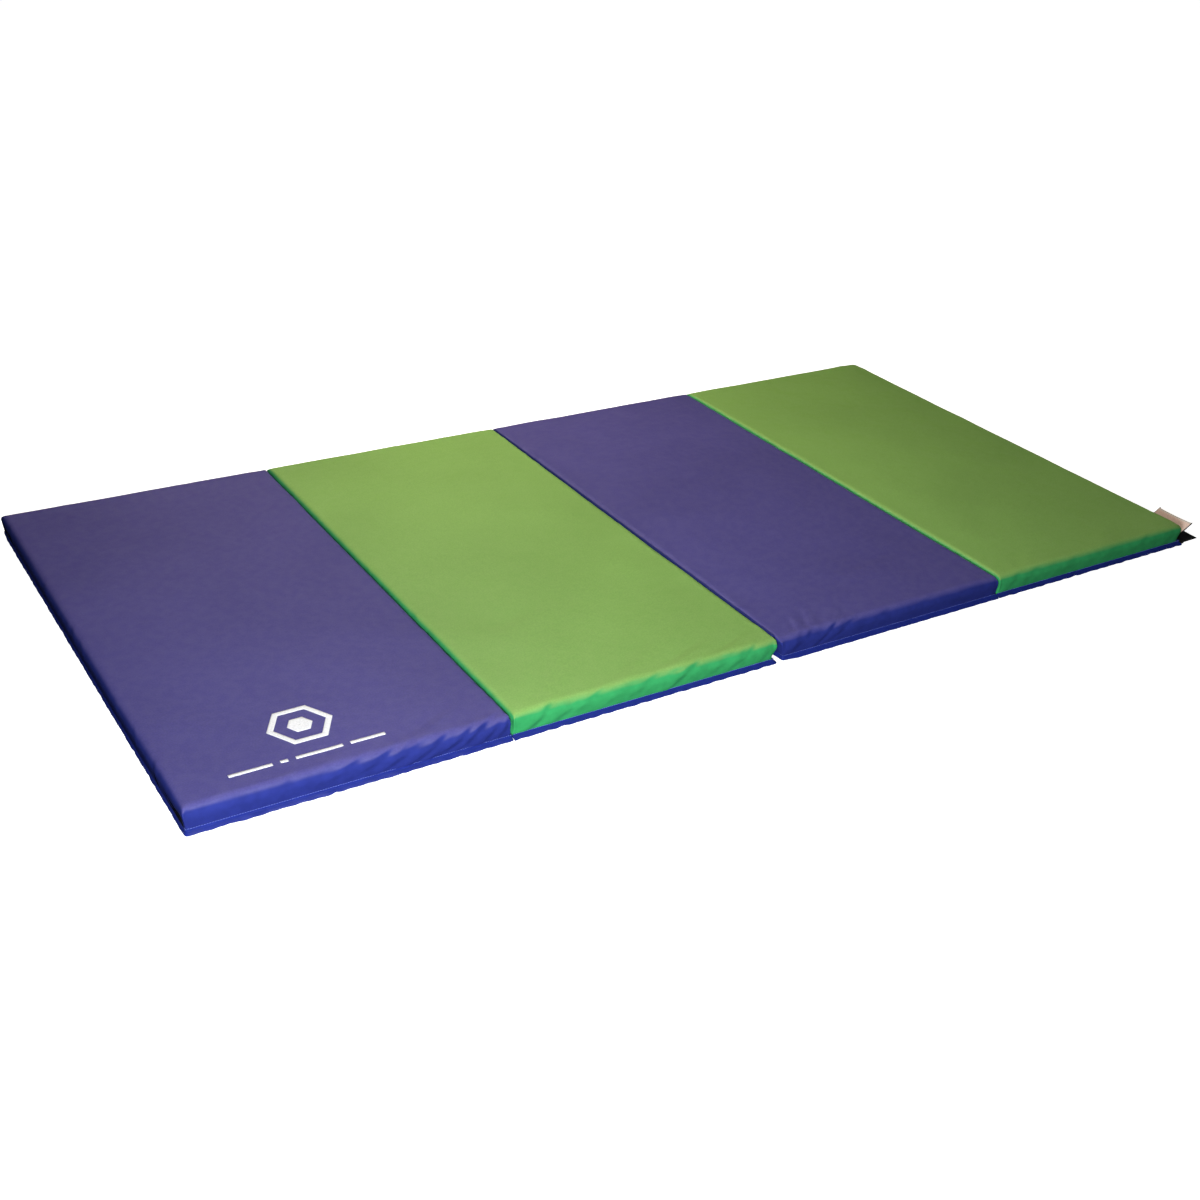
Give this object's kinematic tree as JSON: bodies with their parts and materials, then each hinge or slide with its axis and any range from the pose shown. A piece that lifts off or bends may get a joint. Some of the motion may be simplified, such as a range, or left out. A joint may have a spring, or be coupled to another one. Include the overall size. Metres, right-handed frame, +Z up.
{
  "type": "folding gym mat",
  "caption": "Rectangular foam gym mat in vinyl covers that folds up like an accordion on fabric hinges, with hook-and-loop flaps on one end.",
  "frame": {"origin": "on the floor, at the bottom centre of the part's box with the mat lying flat and its flaps out", "axes": "+X along the row of panels, towards the end with the flaps; +Y across the mat, along the hinges, away from the near side; +Z up"},
  "size_m": [2.5048, 1.2334, 0.0508],
  "materials": {
    "vinyl_blue": "satin embossed vinyl, royal blue",
    "vinyl_green": "satin embossed vinyl, light green",
    "vinyl_base": "satin vinyl, royal blue, with a non-slip emboss",
    "edge_binding": "folded vinyl binding tape, royal blue, stitched",
    "hinge_tape": "woven polyester tape, dark blue",
    "foam": "closed-cell polyethylene foam, off-white",
    "vinyl_black": "matt vinyl, black",
    "hook_tape": "nylon hook tape, beige",
    "loop_tape": "napped nylon loop tape, black"
  },
  "bodies": {
    "panel_1": {"panel_1_foam_core": "foam", "panel_1_top_cover": "vinyl_blue", "panel_1_bottom_cover": "vinyl_base", "panel_1_edge_binding": "edge_binding", "hinge_12_left_leaf": "hinge_tape", "near_loop_strip": "loop_tape", "far_loop_strip": "loop_tape"},
    "panel_2": {"panel_2_foam_core": "foam", "panel_2_top_cover": "vinyl_green", "panel_2_bottom_cover": "vinyl_base", "panel_2_edge_binding": "edge_binding", "hinge_12_right_leaf": "hinge_tape", "hinge_23_left_leaf": "hinge_tape"},
    "panel_3": {"panel_3_foam_core": "foam", "panel_3_top_cover": "vinyl_blue", "panel_3_bottom_cover": "vinyl_base", "panel_3_edge_binding": "edge_binding", "hinge_23_right_leaf": "hinge_tape", "hinge_34_left_leaf": "hinge_tape"},
    "panel_4": {"panel_4_foam_core": "foam", "panel_4_top_cover": "vinyl_green", "panel_4_bottom_cover": "vinyl_base", "panel_4_edge_binding": "edge_binding", "hinge_34_right_leaf": "hinge_tape", "near_fastener_hem": "vinyl_black", "far_fastener_hem": "vinyl_black"},
    "near_flap": {"near_fastener_flap": "vinyl_black", "near_fastener_tab_backing": "vinyl_black", "near_fastener_hook_tape": "hook_tape"},
    "far_flap": {"far_fastener_flap": "vinyl_black", "far_fastener_tab_backing": "vinyl_black", "far_fastener_hook_tape": "hook_tape"}
  },
  "joints": [
    {"name": "fold_12", "type": "hinge", "parent": "panel_2", "child": "panel_1", "pos_m": [-0.6426, 0, -0.0005], "axis": [0, -1, 0], "range_deg": [0, 180]},
    {"name": "fold_23", "type": "hinge", "parent": "panel_2", "child": "panel_3", "pos_m": [-0.033, 0, 0.0513], "axis": [0, -1, 0], "range_deg": [0, 180]},
    {"name": "fold_34", "type": "hinge", "parent": "panel_3", "child": "panel_4", "pos_m": [0.5766, 0, -0.0005], "axis": [0, 1, 0], "range_deg": [0, 180]},
    {"name": "near_flap_lift", "type": "hinge", "parent": "panel_4", "child": "near_flap", "pos_m": [1.1872, -0.5356, 0.0012], "axis": [0, -1, 0], "range_deg": [0, 60]},
    {"name": "far_flap_lift", "type": "hinge", "parent": "panel_4", "child": "far_flap", "pos_m": [1.1872, 0.5356, 0.0012], "axis": [0, -1, 0], "range_deg": [0, 75]}
  ]
}
